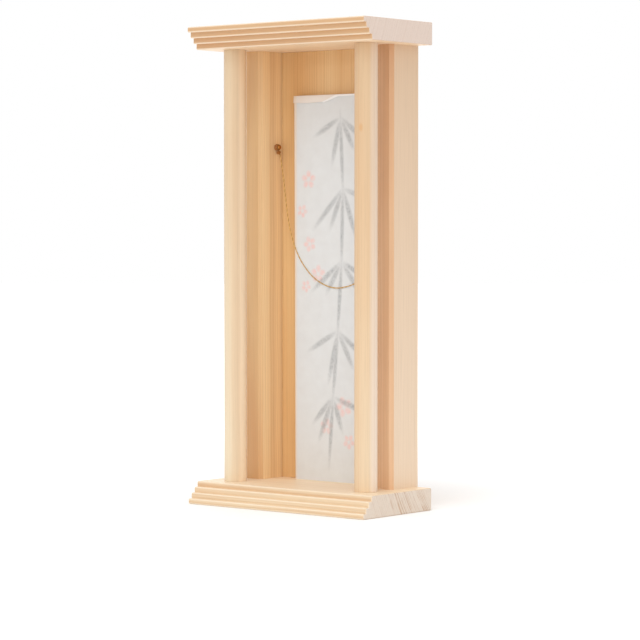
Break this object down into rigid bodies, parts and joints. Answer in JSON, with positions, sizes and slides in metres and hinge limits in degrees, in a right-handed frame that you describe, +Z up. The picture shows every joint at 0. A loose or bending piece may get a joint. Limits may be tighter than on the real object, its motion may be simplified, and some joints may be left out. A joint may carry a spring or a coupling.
{
  "type": "household altar shelf",
  "caption": "Wooden household shrine with stepped base and top boards, round front columns, side posts, back panel, a paper-wrapped talisman and a looped cord that holds it.",
  "frame": {"origin": "middle of the footprint, on the underside of the base board", "axes": "+Z up, -Y towards the front of the shrine, +X to the right of someone who faces the front"},
  "size_m": [0.142, 0.0684, 0.302],
  "materials": {
    "board_wood": "planed, unvarnished",
    "column_wood": "turned and sanded, unvarnished",
    "post_wood": "planed, unvarnished",
    "panel_wood": "planed, unvarnished",
    "talisman_wood": "planed, unvarnished",
    "wrap_paper": "matte handmade paper",
    "pin_brass": "dull",
    "cord_fibre": "twisted thread"
  },
  "bodies": {
    "root": {"base_board": "board_wood", "top_board": "board_wood", "column_left": "column_wood", "column_right": "column_wood", "side_post_left": "post_wood", "side_post_right": "post_wood", "back_panel": "panel_wood", "talisman_board": "talisman_wood", "talisman_wrap": "wrap_paper", "cord_pin_left": "pin_brass", "cord_pin_right": "pin_brass", "cord_knot_left": "cord_fibre", "cord_knot_right": "cord_fibre", "holding_cord": "cord_fibre"}
  },
  "joints": []
}
